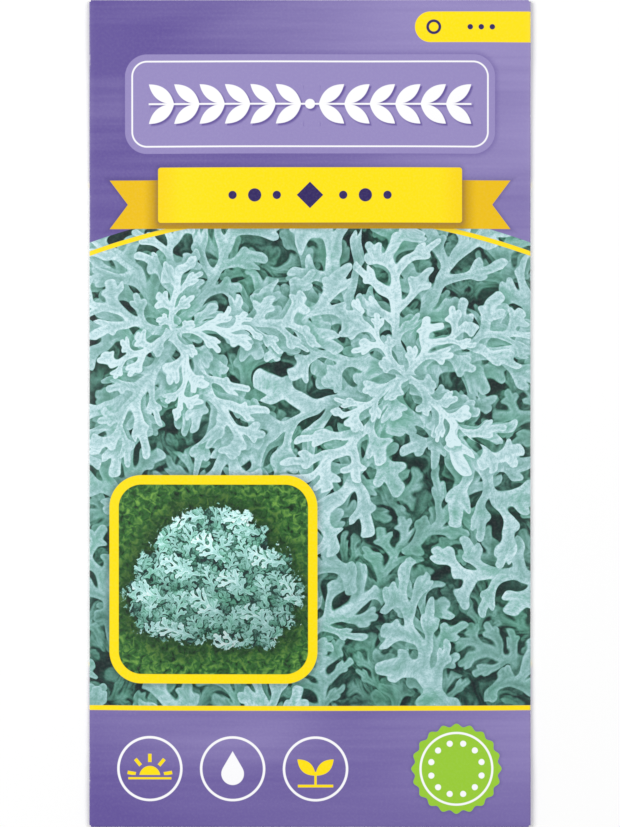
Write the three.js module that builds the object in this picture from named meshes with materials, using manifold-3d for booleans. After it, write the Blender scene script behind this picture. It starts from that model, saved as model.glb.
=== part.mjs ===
// A sealed paper seed packet, lying on its back with its front face up.
// One sheet of coated paper is folded round into a flat bag: the front panel turns over a fold on the
// left into the back panel, a narrow flap on the right is glued under the back panel's free edge, and a
// flap at each end is glued across the back. A small heap of seeds lies loose inside.
// Millimetres, +Z up, +Y towards the packet's top edge. The origin is the centre of the face it rests on.

import * as THREE from "three";
import { mergeVertices } from "three/addons/utils/BufferGeometryUtils.js";
import Module from "manifold-3d";

const wasm = await Module();
wasm.setup();

// Driving dimensions
const PACKET_WIDTH = 80;
const PACKET_HEIGHT = 150;
const PAPER = 0.15;
const GLUE = 0.1;
const SIDE_FLAP = 9;
const END_FLAP = 11;
const CROWN = 1.7; // how far the front stands up in the middle of the bag
const MOUTH = 0.2; // free space between front and back along the folds

const LAYER = PAPER + GLUE; // one more glued thickness
const TURN = 0.3; // how far the sheet's middle swings out in a fold that goes round a flap
const SIDE_TURN = 0.175; // the same in the plain fold on the left
const RAMP = 4; // the stretch in which a layer climbs onto the flap below it
const EASE = 20; // the longer stretch in which the front panel rises over the end flaps
const HELD_BACK = 0.9; // the back panel's free edge stops this far inside the packet's edge

const front = {
  left: -PACKET_WIDTH / 2 + SIDE_TURN + PAPER / 2,
  right: PACKET_WIDTH / 2 - TURN - PAPER / 2,
  end: PACKET_HEIGHT / 2 - TURN - PAPER / 2,
};
const backEdge = PACKET_WIDTH / 2 - HELD_BACK;
const sideFlapEdge = front.right - SIDE_FLAP;
const endFlapEdge = front.end - END_FLAP;

const smooth = THREE.MathUtils.smoothstep;

// 1 where the end flaps lie underneath, 0 in the middle of the packet's length.
const overEndFlap = (y) => smooth(Math.abs(y), endFlapEdge - RAMP, endFlapEdge);

// 1 where the side flap lies underneath, 0 over most of the packet's width.
const overSideFlap = (x) => smooth(x, sideFlapEdge - RAMP, sideFlapEdge);

// Heights of the sheet's middle surface, layer by layer from the table up
const endFlapHeight = PAPER / 2;
const sideFlapHeight = (y) => PAPER / 2 + LAYER * overEndFlap(y);
const backHeight = (x, y) => sideFlapHeight(y) + LAYER * overSideFlap(x);

function frontHeight(x, y) {
  const across = x / (PACKET_WIDTH / 2);
  const along = y / (PACKET_HEIGHT / 2);
  const crown = CROWN * (1 - across ** 2) * (1 - along ** 4);
  const overEnds = smooth(Math.abs(y), endFlapEdge - EASE, front.end);
  const overSide = smooth(x, 0, sideFlapEdge);
  return PAPER / 2 + PAPER + MOUTH + LAYER * (overEnds + overSide) + Math.max(crown, 0);
}

// Evenly spaced values from a to b, both included.
const spaced = (a, b, steps) => Array.from({ length: steps + 1 }, (_, i) => a + ((b - a) * i) / steps);

// How many cells each stretch of the sheet is divided into
const STEPS = { fold: 4, flap: 2, ramp: 3, backWidth: 5, frontWidth: 14, halfLength: 6, overFlap: 3 };

const foldAngles = spaced(0, Math.PI, STEPS.fold);

// The blank's columns, from the back panel's free edge round to the side flap's free edge
const backColumns = [
  ...spaced(backEdge, sideFlapEdge, STEPS.flap),
  ...spaced(sideFlapEdge, sideFlapEdge - RAMP, STEPS.ramp).slice(1),
  ...spaced(sideFlapEdge - RAMP, front.left, STEPS.backWidth).slice(1),
];
const frontColumns = spaced(front.left, front.right, STEPS.frontWidth);
const columns = [
  ...backColumns.slice(0, -1).map((x) => ({ panel: "back", x })),
  ...foldAngles.toReversed().slice(0, -1).map((angle) => ({ panel: "leftFold", x: front.left, angle })),
  ...frontColumns.map((x) => ({ panel: "front", x })),
  ...foldAngles.slice(1).map((angle) => ({ panel: "rightFold", x: front.right, angle })),
  ...spaced(front.right, sideFlapEdge, STEPS.flap).slice(1).map((x) => ({ panel: "sideFlap", x })),
];

// The blank's rows, from the bottom flap's free edge to the top flap's free edge
const rowsUp = [
  ...spaced(0, endFlapEdge - RAMP, STEPS.halfLength).slice(1),
  ...spaced(endFlapEdge - RAMP, endFlapEdge, STEPS.ramp).slice(1),
  ...spaced(endFlapEdge, front.end, STEPS.overFlap).slice(1),
];
const frontRows = [...rowsUp.toReversed().map((y) => -y), 0, ...rowsUp];
const rows = [
  ...spaced(-endFlapEdge, -front.end, STEPS.flap).slice(0, -1).map((y) => ({ panel: "endFlap", y })),
  ...foldAngles.toReversed().slice(0, -1).map((angle) => ({ panel: "endFold", y: -front.end, angle })),
  ...frontRows.map((y) => ({ panel: "front", y })),
  ...foldAngles.slice(1).map((angle) => ({ panel: "endFold", y: front.end, angle })),
  ...spaced(front.end, endFlapEdge, STEPS.flap).slice(1).map((y) => ({ panel: "endFlap", y })),
];

const FLAP_CHAMFER = 2.5; // the corners of a flap's free edge are cut back by this much

// A flap's own end, pulled in towards its free edge. Other stations along the flap stay where they are.
const chamfered = (at, ends, depth) => (ends.includes(at) ? at - Math.sign(at) * FLAP_CHAMFER * depth : at);

// A point of the folded sheet, on its printed face (side 1) or its inner face (side -1).
function foldedPoint(column, row, side) {
  const off = (side * PAPER) / 2;
  if (row.panel === "endFlap") {
    const depth = (front.end - Math.abs(row.y)) / END_FLAP;
    return [chamfered(column.x, [front.left, front.right], depth), row.y, endFlapHeight - off];
  }
  if (row.panel === "endFold") {
    const top = frontHeight(column.x, row.y);
    const middle = (top + endFlapHeight) / 2;
    const reach = TURN * Math.sin(row.angle) + off * Math.sin(row.angle);
    const height = middle + ((top - endFlapHeight) / 2 + off) * Math.cos(row.angle);
    return [column.x, row.y + Math.sign(row.y) * reach, height];
  }
  if (column.panel === "front") return [column.x, row.y, frontHeight(column.x, row.y) + off];
  if (column.panel === "back") return [column.x, row.y, backHeight(column.x, row.y) - off];
  if (column.panel === "sideFlap") {
    const depth = (front.right - column.x) / SIDE_FLAP;
    return [column.x, chamfered(row.y, [-front.end, front.end], depth), sideFlapHeight(row.y) - off];
  }
  const onLeft = column.panel === "leftFold";
  const top = frontHeight(column.x, row.y);
  const bottom = onLeft ? backHeight(column.x, row.y) : sideFlapHeight(row.y);
  const turn = onLeft ? SIDE_TURN : TURN;
  const reach = (turn + off) * Math.sin(column.angle);
  const height = (top + bottom) / 2 + ((top - bottom) / 2 + off) * Math.cos(column.angle);
  return [column.x + (onLeft ? -reach : reach), row.y, height];
}

// The end flaps and end folds hang on the front panel alone, so the blank is cut away beside them.
const inBlank = (column, row) => row.panel === "front" || column.panel === "front";

// A closed solid of a sheet that is laid out as a grid: both faces of every cell that the blank keeps, and
// a wall wherever a kept cell has no kept neighbour. A cell is kept if all four of its corners are.
function sheetSolid(columnList, rowList, keep, point) {
  const across = columnList.length;
  const index = (i, j, side) => 2 * (j * across + i) + (side > 0 ? 0 : 1);
  const positions = rowList.flatMap((row) =>
    columnList.flatMap((column) => [...point(column, row, 1), ...point(column, row, -1)]),
  );
  const kept = (i, j) =>
    i >= 0 && j >= 0 && i < across - 1 && j < rowList.length - 1 &&
    [0, 1].every((di) => [0, 1].every((dj) => keep(columnList[i + di], rowList[j + dj])));
  const triangles = [];
  const quad = (a, b, c, d) => triangles.push(a, b, c, a, c, d);
  for (let j = 0; j < rowList.length - 1; j++) {
    for (let i = 0; i < across - 1; i++) {
      if (!kept(i, j)) continue;
      const corners = [[i, j], [i + 1, j], [i + 1, j + 1], [i, j + 1]];
      quad(...corners.map(([a, b]) => index(a, b, 1)));
      quad(...corners.toReversed().map(([a, b]) => index(a, b, -1)));
      const neighbours = [[i, j - 1], [i + 1, j], [i, j + 1], [i - 1, j]];
      neighbours.forEach(([a, b], n) => {
        if (kept(a, b)) return;
        const [from, to] = [corners[n], corners[(n + 1) % 4]];
        quad(index(...to, 1), index(...from, 1), index(...from, -1), index(...to, -1));
      });
    }
  }
  const used = new THREE.BufferGeometry();
  used.setAttribute("position", new THREE.Float32BufferAttribute(positions, 3));
  used.setIndex(triangles);
  return used;
}

// Glue: flat strips across the back inside the end flaps, and one up the back inside the side flap
const GLUE_INSET = 1.5; // from the fold to the strip, and from the strip to the flap's free edge

function endGlue(sign) {
  const width = PACKET_WIDTH - 4 * GLUE_INSET; // clear of the flap's cut corners
  const depth = END_FLAP - 2 * GLUE_INSET;
  const strip = new THREE.BoxGeometry(width, depth, GLUE);
  strip.translate(0, sign * (endFlapEdge + END_FLAP / 2), PAPER + GLUE / 2);
  return strip;
}

function sideGlue() {
  const strip = spaced(sideFlapEdge + GLUE_INSET, front.right - GLUE_INSET, 1).map((x) => ({ x }));
  const stretch = frontRows.filter((y) => Math.abs(y) < front.end - GLUE_INSET).map((y) => ({ y }));
  const point = (column, row, side) => [
    column.x,
    row.y,
    sideFlapHeight(row.y) + PAPER / 2 + (side > 0 ? GLUE : 0),
  ];
  return sheetSolid(strip, stretch, () => true, point);
}

// Seeds: slender ribbed nutlets, lying flat in a heap on the inside of the back panel
const SEED_LENGTH = 2.2;
const SEED_RADIUS = 0.29;
const SEED_SIDES = 6;
const SEED_PROFILE = [[0, -0.5], [0.62, -0.42], [1, 0.05], [0.7, 0.42], [0, 0.5]]; // radius, length
const HEAP_LAYERS = [
  { count: 84, height: 0, spread: 0.68 },
  { count: 34, height: 0.42, spread: 0.75 },
];
const HEAP_CENTRE = { x: -2, y: -40 };
const HEAP_FLOOR = PAPER + 0.08;
const HEAP_STRETCH = 1.35; // the heap is this much longer across the packet than along it
const LAY_SCATTER = 0.04;
const HEAP_DRAW = 7;
const GOLDEN_ANGLE = Math.PI * (3 - Math.sqrt(5));

// A small generator with a fixed start, so that the heap is the same each time.
function seededDraw(state) {
  return () => {
    state = (state * 1664525 + 1013904223) % 4294967296;
    return state / 4294967296;
  };
}

function seedShape() {
  const points = SEED_PROFILE.map(([r, t]) => new THREE.Vector2(r * SEED_RADIUS, t * SEED_LENGTH));
  return new THREE.LatheGeometry(points, SEED_SIDES).rotateZ(Math.PI / 2);
}

// A closed three.js geometry as a solid that can be joined to others.
function solidOf(geometry) {
  const bare = new THREE.BufferGeometry().setAttribute("position", geometry.getAttribute("position"));
  bare.setIndex(geometry.index);
  const merged = mergeVertices(bare, 1e-4);
  return new wasm.Manifold(
    new wasm.Mesh({
      numProp: 3,
      vertProperties: merged.attributes.position.array,
      triVerts: new Uint32Array(merged.index.array),
    }),
  );
}

function geometryOf(solid) {
  const mesh = solid.getMesh();
  const geometry = new THREE.BufferGeometry();
  geometry.setAttribute("position", new THREE.BufferAttribute(new Float32Array(mesh.vertProperties), 3));
  geometry.setIndex(new THREE.BufferAttribute(new Uint32Array(mesh.triVerts), 1));
  return geometry.toNonIndexed();
}

// The seeds lie in a sunflower spiral, one layer on the other, and are joined where they touch.
function seedHeap() {
  const draw = seededDraw(HEAP_DRAW);
  const placed = [];
  for (const { count, height, spread } of HEAP_LAYERS) {
    for (let n = 0; n < count; n++) {
      const radius = spread * Math.sqrt(n + 0.5);
      const around = n * GOLDEN_ANGLE;
      const seed = seedShape();
      seed.rotateZ(draw() * Math.PI);
      seed.translate(
        HEAP_CENTRE.x + HEAP_STRETCH * radius * Math.cos(around),
        HEAP_CENTRE.y + radius * Math.sin(around),
        HEAP_FLOOR + SEED_RADIUS + height + LAY_SCATTER * draw(),
      );
      placed.push(solidOf(seed));
    }
  }
  const heap = placed.reduce((joined, seed) => joined.add(seed));
  const bodies = heap.decompose().sort((a, b) => b.volume() - a.volume());
  return geometryOf(bodies[0]);
}

// Colours
const paper = new THREE.MeshStandardMaterial({ color: 0x8fb8b3, roughness: 0.45, metalness: 0 });
const glue = new THREE.MeshStandardMaterial({ color: 0xf3efe0, roughness: 0.6, metalness: 0 });
const husk = new THREE.MeshStandardMaterial({ color: 0x8a6a44, roughness: 0.85, metalness: 0 });

const packet = new THREE.Group();
function addPiece(name, geometry, material) {
  const mesh = new THREE.Mesh(geometry, material);
  mesh.name = name;
  packet.add(mesh);
}

addPiece("paper_bag", sheetSolid(columns, rows, inBlank, foldedPoint), paper);
addPiece("side_flap_glue", sideGlue(), glue);
addPiece("top_flap_glue", endGlue(1), glue);
addPiece("bottom_flap_glue", endGlue(-1), glue);
addPiece("seeds", seedHeap(), husk);

export default packet;
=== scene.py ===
import math

import bmesh
import bpy
from mathutils import Matrix, Vector


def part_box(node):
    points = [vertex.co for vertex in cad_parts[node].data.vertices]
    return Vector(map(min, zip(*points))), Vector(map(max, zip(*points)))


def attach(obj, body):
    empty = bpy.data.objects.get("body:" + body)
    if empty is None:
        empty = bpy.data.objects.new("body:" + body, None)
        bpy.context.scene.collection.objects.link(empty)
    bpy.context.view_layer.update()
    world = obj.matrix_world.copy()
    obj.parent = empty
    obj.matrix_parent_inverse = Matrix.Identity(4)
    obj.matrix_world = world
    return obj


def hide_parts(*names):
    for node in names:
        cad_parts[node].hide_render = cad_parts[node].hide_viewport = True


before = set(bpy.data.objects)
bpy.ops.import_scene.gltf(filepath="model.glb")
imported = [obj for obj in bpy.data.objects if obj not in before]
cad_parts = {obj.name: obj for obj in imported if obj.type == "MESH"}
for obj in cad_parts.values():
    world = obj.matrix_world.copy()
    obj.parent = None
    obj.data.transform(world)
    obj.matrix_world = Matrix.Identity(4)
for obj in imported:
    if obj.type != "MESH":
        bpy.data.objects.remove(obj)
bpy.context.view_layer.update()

# The view. The packet lies on its back and is seen square on, from straight above. Its length fills the
# picture from top to bottom, and a strip of the table shows on either side of it.
MM = 0.001
LENS = 100
SENSOR = 36
NEAR_LIMIT = 10 * MM
RIM_HEIGHT = 0.4 * MM  # the packet is widest at its folds, this far above the table

bag_low, bag_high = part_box("paper_bag")
WIDTH = bag_high.x - bag_low.x
LENGTH = bag_high.y - bag_low.y

camera = bpy.data.objects.new("camera", bpy.data.cameras.new("camera"))
camera.data.lens = LENS
camera.data.sensor_width = SENSOR
camera.data.clip_start = NEAR_LIMIT
camera.location = (0, 0, RIM_HEIGHT + LENGTH * LENS / SENSOR)
bpy.context.scene.collection.objects.link(camera)
bpy.context.scene.camera = camera
bpy.context.scene.view_settings.view_transform = "Standard"


# The table and the light. The table is a plain white sheet. Two large soft lamps stand left and right of
# it, the left one stronger so that the packet's gentle swell shows, and the room is an even pale grey.
TABLE_SIZE = 6
TABLE_WHITE = (0.97, 0.97, 0.97, 1)
TABLE_ROUGHNESS = 0.9
TABLE_SHINE = 0.1
LAMP_SIZE = 0.9
LAMP_DISTANCE = 1.1
LAMP_BEHIND = 0.33  # both lamps stand a little beyond the packet's top edge
LAMP_HEIGHT = 1.2
LAMP_POWER = {-1: 18, 1: 11.8}  # at the left and at the right, in watts
ROOM_LIGHT = 0.32

table_mesh = bpy.data.meshes.new("table")
sheet = bmesh.new()
bmesh.ops.create_grid(sheet, x_segments=1, y_segments=1, size=TABLE_SIZE / 2)
sheet.to_mesh(table_mesh)
sheet.free()
table = bpy.data.objects.new("table", table_mesh)
bpy.context.scene.collection.objects.link(table)

white = bpy.data.materials.new("white table")
white.use_nodes = True
matt = white.node_tree.nodes["Principled BSDF"].inputs
matt["Base Color"].default_value = TABLE_WHITE
matt["Roughness"].default_value = TABLE_ROUGHNESS
matt["Specular IOR Level"].default_value = TABLE_SHINE
table_mesh.materials.append(white)

for side, power in LAMP_POWER.items():
    lamp = bpy.data.objects.new(f"lamp {side}", bpy.data.lights.new(f"lamp {side}", "AREA"))
    lamp.data.size = LAMP_SIZE
    lamp.data.energy = power
    lamp.location = (side * LAMP_DISTANCE, LAMP_BEHIND, LAMP_HEIGHT)
    lamp.rotation_euler = (-lamp.location).to_track_quat("-Z", "Y").to_euler()
    bpy.context.scene.collection.objects.link(lamp)

room = bpy.data.worlds.new("room")
room.use_nodes = True
room.node_tree.nodes["Background"].inputs["Color"].default_value = (1, 1, 1, 1)
room.node_tree.nodes["Background"].inputs["Strength"].default_value = ROOM_LIGHT
bpy.context.scene.world = room


# The bag is one sheet of coated paper, printed flat and cut out with a side flap and two end flaps. The
# back panel turns round the left fold, the side flap is glued under the back panel's free edge, and the end
# flaps are glued under both. The corners of each flap are cut back so that they tuck in.
PAPER = 0.15 * MM
GLUE = 0.1 * MM
LAYER = PAPER + GLUE
SIDE_FLAP = 9 * MM
END_FLAP = 11 * MM
FLAP_CHAMFER = 2.5 * MM
HELD_BACK = 0.9 * MM  # the back panel's free edge stops this far short of the packet's right side
MOUTH = 0.2 * MM  # the room between the two panels where they meet at the left fold
LEFT_TURN = (PAPER + MOUTH) / 2  # the left fold's radius
TURN = LEFT_TURN + LAYER / 2  # the radius of the other folds, which also take in a flap
CROWN = 1.7 * MM  # the front panel's rise from its rim to its middle
RAMP = 4 * MM  # the side flap and the back panel climb onto a flap over this width
EASE = 20 * MM  # the front panel starts to climb this far before an end flap
STEP_SHOWS = 0.25  # the share of an end flap's step that shows through the front
CALM_RIM = 9 * MM  # the unevenness dies out this near the folds

LEFT = -WIDTH / 2 + LEFT_TURN + PAPER / 2
RIGHT = WIDTH / 2 - TURN - PAPER / 2
END = LENGTH / 2 - TURN - PAPER / 2
BACK_EDGE = WIDTH / 2 - HELD_BACK
SIDE_FLAP_EDGE = RIGHT - SIDE_FLAP
END_FLAP_EDGE = END - END_FLAP

LEFT_ARC = math.pi * LEFT_TURN
ARC = math.pi * TURN
FOLD_STEPS = 8
CELL = 1 * MM
SAME_LINE = 0.01 * MM
SAME_POINT = 0.001 * MM
SHARP = math.radians(60)


def smooth(value, start, end):
    """0 below start, 1 above end, and an even S between them."""
    part = min(max((value - start) / (end - start), 0), 1)
    return part * part * (3 - 2 * part)


def swell(x, y):
    """The soft unevenness of a filled bag that has been handled: three slow waves, in millimetres."""
    waves = (
        0.1 * math.sin(x / (9.5 * MM) + 0.8) * math.sin(y / (17 * MM) + 0.3)
        + 0.07 * math.sin(x / (5.3 * MM) - y / (11 * MM) + 2.1)
        + 0.04 * math.sin(x / (13 * MM) + y / (6.1 * MM))
    )
    to_fold = min(WIDTH / 2 - abs(x), LENGTH / 2 - abs(y))
    return waves * MM * smooth(to_fold, 0, CALM_RIM)


def side_flap_height(y):
    """The middle of the side flap's paper above the table: it climbs onto the end flaps."""
    return PAPER / 2 + LAYER * smooth(abs(y), END_FLAP_EDGE - RAMP, END_FLAP_EDGE)


def back_height(x, y):
    """The same for the back panel, which also climbs onto the side flap."""
    return side_flap_height(y) + LAYER * smooth(x, SIDE_FLAP_EDGE - RAMP, SIDE_FLAP_EDGE)


def front_height(x, y):
    """The same for the front panel, which the filling holds up in the middle."""
    crown = CROWN * (1 - (2 * x / WIDTH) ** 2) * (1 - (2 * y / LENGTH) ** 4)
    over_ends = smooth(abs(y), END_FLAP_EDGE - EASE, END)
    over_side = smooth(x, 0, SIDE_FLAP_EDGE)
    flap_step = STEP_SHOWS * LAYER * smooth(abs(y), END_FLAP_EDGE - RAMP / 4, END_FLAP_EDGE + RAMP / 4)
    flap_step *= smooth(END - abs(y), 0, END_FLAP / 2)
    rise = LAYER * (over_ends + over_side) + max(crown, 0) + swell(x, y) + flap_step
    return PAPER / 2 + PAPER + MOUTH + rise


def folded(across, along):
    """Where a point of the flat blank's printed face lies once the bag is folded."""
    off = PAPER / 2
    x = min(max(across, LEFT), RIGHT)
    y = min(max(along, -END), END)
    past_end = abs(along) - END
    if past_end > ARC:
        return Vector((across, math.copysign(END - (past_end - ARC), along), PAPER / 2 - off))
    top = front_height(x, y)
    if past_end > 0:
        angle = past_end / TURN
        bottom = PAPER / 2
        rise = (top + bottom) / 2 + ((top - bottom) / 2 + off) * math.cos(angle)
        return Vector((across, y + math.copysign((TURN + off) * math.sin(angle), along), rise))
    if LEFT <= across <= RIGHT:
        return Vector((x, y, top + off))
    on_left = across < LEFT
    turn, arc = (LEFT_TURN, LEFT_ARC) if on_left else (TURN, ARC)
    past = LEFT - across if on_left else across - RIGHT
    if past < arc:
        angle = past / turn
        bottom = back_height(x, y) if on_left else side_flap_height(y)
        rise = (top + bottom) / 2 + ((top - bottom) / 2 + off) * math.cos(angle)
        aside = (turn + off) * math.sin(angle)
        return Vector((x - aside if on_left else x + aside, y, rise))
    if on_left:
        x = LEFT + (past - arc)
        return Vector((x, y, back_height(x, y) - off))
    return Vector((RIGHT - (past - arc), y, side_flap_height(y) - off))


def drawn_out(blank, edges, step, count):
    """Draws panel rows out from a row of edges, and returns the last row."""
    for _ in range(count):
        made = bmesh.ops.extrude_edge_only(blank, edges=edges)["geom"]
        corners = {part for part in made if isinstance(part, bmesh.types.BMVert)}
        drawn = [part for part in made if isinstance(part, bmesh.types.BMEdge)]
        edges = [edge for edge in drawn if corners.issuperset(edge.verts)]
        bmesh.ops.translate(blank, verts=list(corners), vec=step)
    return edges


def rim_edges(blank, axis, place):
    """The edges of the blank's rim that lie at one place along an axis."""
    rim = [edge for edge in blank.edges if edge.is_boundary]
    return [edge for edge in rim if all(abs(end.co[axis] - place) < SAME_LINE for end in edge.verts)]


blank = bmesh.new()
columns, rows = round((RIGHT - LEFT) / CELL), round(2 * END / CELL)
bmesh.ops.create_grid(blank, x_segments=columns, y_segments=rows, size=1)
bmesh.ops.scale(blank, verts=blank.verts, vec=((RIGHT - LEFT) / 2, END, 1))
bmesh.ops.translate(blank, verts=blank.verts, vec=((RIGHT + LEFT) / 2, 0, 0))

sides = {place: rim_edges(blank, 0, place) for place in (LEFT, RIGHT)}
ends = {place: rim_edges(blank, 1, place) for place in (-END, END)}
fold = drawn_out(blank, sides[LEFT], Vector((-LEFT_ARC / FOLD_STEPS, 0, 0)), FOLD_STEPS)
back_width = BACK_EDGE - LEFT
back_columns = round(back_width / CELL)
drawn_out(blank, fold, Vector((-back_width / back_columns, 0, 0)), back_columns)
fold = drawn_out(blank, sides[RIGHT], Vector((ARC / FOLD_STEPS, 0, 0)), FOLD_STEPS)
drawn_out(blank, fold, Vector((CELL, 0, 0)), round(SIDE_FLAP / CELL))
for place, edges in ends.items():
    fold = drawn_out(blank, edges, Vector((0, math.copysign(ARC / FOLD_STEPS, place), 0)), FOLD_STEPS)
    drawn_out(blank, fold, Vector((0, math.copysign(CELL, place), 0)), round(END_FLAP / CELL))

FLAP_ROOT = END + ARC
SIDE_FLAP_ROOT = RIGHT + ARC


def trimmed(blank, on_flap, point, outward):
    """Cuts one corner of a flap away along a slanting line through the point."""
    faces = [face for face in blank.faces if on_flap(face.calc_center_median())]
    flap = {part for face in faces for part in (face, *face.edges, *face.verts)}
    bmesh.ops.bisect_plane(
        blank, geom=list(flap), dist=SAME_POINT, plane_co=point, plane_no=outward, clear_outer=True
    )


for up in (-1, 1):
    for place in (LEFT, RIGHT):
        outward = (math.copysign(END_FLAP, place), up * FLAP_CHAMFER, 0)
        trimmed(blank, lambda middle: up * middle.y > FLAP_ROOT, (place, up * FLAP_ROOT, 0), outward)
    outward = (FLAP_CHAMFER, up * SIDE_FLAP, 0)
    trimmed(blank, lambda middle: middle.x > SIDE_FLAP_ROOT, (SIDE_FLAP_ROOT, up * END, 0), outward)

# The print lies on the flat blank, in millimetres from the front panel's middle. The front's inks end half
# way round its folds. The plain inside shares one small corner of the bake map.
FRONT, BACK, FLAPS, INSIDE = range(4)
FRONT_LEFT = LEFT - LEFT_ARC / 2
FRONT_RIGHT = RIGHT + ARC / 2
print_map = blank.loops.layers.uv.new("print")
bake_map = blank.loops.layers.uv.new("OFBake")
BLANK_MIDDLE = Vector((-35, 0))
BLANK_SPAN = 176  # the blank's length and a margin
MAP_MIDDLE = Vector((0.5, 0.5))
INSIDE_SHRINK = 0.05
INSIDE_PLACE = Vector((0.03, 0.03))
for face in blank.faces:
    middle = face.calc_center_median()
    on_front = FRONT_LEFT < middle.x < FRONT_RIGHT
    face.material_index = FLAPS if abs(middle.y) > FLAP_ROOT else FRONT if on_front else BACK
    for loop in face.loops:
        place = loop.vert.co.xy / MM
        loop[print_map].uv = place
        loop[bake_map].uv = (place - BLANK_MIDDLE) / BLANK_SPAN + MAP_MIDDLE

for corner in blank.verts:
    corner.co = folded(*corner.co.xy)

bmesh.ops.recalc_face_normals(blank, faces=blank.faces)
printed = set(blank.faces)
bmesh.ops.solidify(blank, geom=blank.faces[:], thickness=PAPER)
for face in blank.faces:
    face.smooth = True
    if face not in printed:
        face.material_index = INSIDE
        for loop in face.loops:
            loop[bake_map].uv = (loop[bake_map].uv - MAP_MIDDLE) * INSIDE_SHRINK + INSIDE_PLACE

bag_mesh = bpy.data.meshes.new("printed_paper_bag")
blank.to_mesh(bag_mesh)
blank.free()
bag_mesh.set_sharp_from_angle(angle=SHARP)
bag = bpy.data.objects.new("printed_paper_bag", bag_mesh)
bpy.context.scene.collection.objects.link(bag)


class Wire:
    """An output of a material's nodes. Arithmetic on it adds Math nodes, so patterns read as formulas."""

    def __init__(self, socket):
        self.socket = socket

    @classmethod
    def made(cls, tree, kind, settings, sockets, out=0):
        """A new node: its settings are set first, then the values or links of its sockets. A ramp is made
        with two stops, so the first two given move those, and the rest are added."""
        node = tree.nodes.new("ShaderNode" + kind)
        for name, value in settings.items():
            if name == "stops":
                for stop, (position, colour) in zip(node.color_ramp.elements, value[:2]):
                    stop.position, stop.color = position, colour
                for position, colour in value[2:]:
                    node.color_ramp.elements.new(position).color = colour
            else:
                setattr(node, name, value)
        for key, value in sockets.items():
            if isinstance(value, Wire):
                tree.links.new(value.socket, node.inputs[key])
            else:
                node.inputs[key].default_value = value
        return cls(node.outputs[out])

    def node(self, kind, settings, sockets, out=0):
        return Wire.made(self.socket.id_data, kind, settings, sockets, out)

    def maths(self, operation, *values):
        return self.node("Math", {"operation": operation}, dict(enumerate((self, *values))))

    def vector(self, operation, *values, out=0):
        return self.node("VectorMath", {"operation": operation}, dict(enumerate((self, *values))), out)

    def __add__(self, other):
        return self.maths("ADD", other)

    def __sub__(self, other):
        return self.maths("SUBTRACT", other)

    def __rsub__(self, other):
        return self.node("Math", {"operation": "SUBTRACT"}, {0: other, 1: self})

    def __mul__(self, other):
        return self.maths("MULTIPLY", other)

    def __truediv__(self, other):
        return self.maths("DIVIDE", other)

    def __neg__(self):
        return self * -1

    def __abs__(self):
        return self.maths("ABSOLUTE")

    __radd__ = __add__
    __rmul__ = __mul__

    def times_plus(self, factor, addend):
        return self.maths("MULTIPLY_ADD", factor, addend)

    def at_least(self, other):
        return self.maths("MAXIMUM", other)

    def at_most(self, other):
        return self.maths("MINIMUM", other)

    def held(self, low, high):
        return self.node("Clamp", {}, {0: self, 1: low, 2: high})

    def rise(self, start, end, low=0.0, high=1.0):
        """low before start, high past end, and a smooth S between. The start may be the larger."""
        sockets = {"Value": self, "From Min": start, "From Max": end, "To Min": low, "To Max": high}
        return self.node("MapRange", {"interpolation_type": "SMOOTHSTEP"}, sockets)

    def parts(self, count=2):
        """The first numbers of this vector."""
        split = self.node("SeparateXYZ", {}, {0: self}).socket.node
        return [Wire(output) for output in split.outputs[:count]]

    def turned(self, angle):
        return self.node("VectorRotate", {"rotation_type": "Z_AXIS"}, {"Vector": self, "Angle": angle})

    def blended(self, other, factor):
        """This number, or the other one where factor is 1."""
        return self.node("Mix", {"data_type": "FLOAT"}, {0: factor, 2: self, 3: other})

    def painted(self, layer, mask):
        """This colour, with another laid over it where mask is 1."""
        return self.node("Mix", {"data_type": "RGBA"}, {0: mask, 6: self, 7: layer}, out=2)

    def tinted(self, tint, mask):
        """This colour, multiplied by the tint where mask is 1."""
        settings = {"data_type": "RGBA", "blend_type": "MULTIPLY", "clamp_result": True}
        return self.node("Mix", settings, {0: mask, 6: self, 7: tint}, out=2)


def reach(across, along):
    """Distance from the point where both are 0."""
    return across.times_plus(across, along * along).maths("SQRT")


def ink(red, green, blue):
    """A printed colour, from its screen values of 0 to 255."""
    shares = [value / 255 for value in (red, green, blue)]
    return (*(part / 12.92 if part <= 0.04045 else ((part + 0.055) / 1.055) ** 2.4 for part in shares), 1)


# The inks. The head, the ribbon, the foot and the whole back are printed in a few flat inks, and the leaves
# in full colour. Gloss comes from the paper's coating, so the inks differ in colour alone.
VIOLET = ink(126, 113, 172)
DEEP_VIOLET = ink(100, 84, 154)
PALE_VIOLET = ink(150, 138, 192)
NIGHT = ink(49, 36, 97)
YELLOW = ink(255, 226, 0)
AMBER = ink(236, 190, 0)
LIME = ink(152, 203, 52)
PURE = ink(250, 250, 252)
SHADOW = ink(14, 24, 24)


# The picture of leaves, printed over most of the front. Each leaf is feathered: blunt fingers stand off its
# rib on both sides by turns, and every finger forks into three short lobes. All lengths on the print are
# millimetres, and a place's colour comes from how light the leaf there is.
FINGER_ANGLE = math.radians(50)  # between a finger and the rib
FORK_ANGLE = math.radians(42)  # between a finger and its side lobes
FINGERED = 0.86  # the share of the rib that bears fingers
SLENDER = 0.15  # a finger's half width, as a share of the fingers' spacing
BENDING = 0.8  # a leaf's tip bends aside by up to half this share of its length
FORK_START = 0.5  # the share of a finger below its fork
FORK_SHARE = 0.4  # a side lobe's length, as a share of its finger's
CELL_RIM = 1  # a strewn leaf ends this far inside its cell
WAVING = 0.55  # how strongly a leaf's waves show as light and shade


def rod(along, across, length, radius):
    """Distance to a round-ended rod's outline that lies from 0 to length: negative inside."""
    past = along - along.held(0.0, length)
    return reach(past, across) - radius


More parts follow.
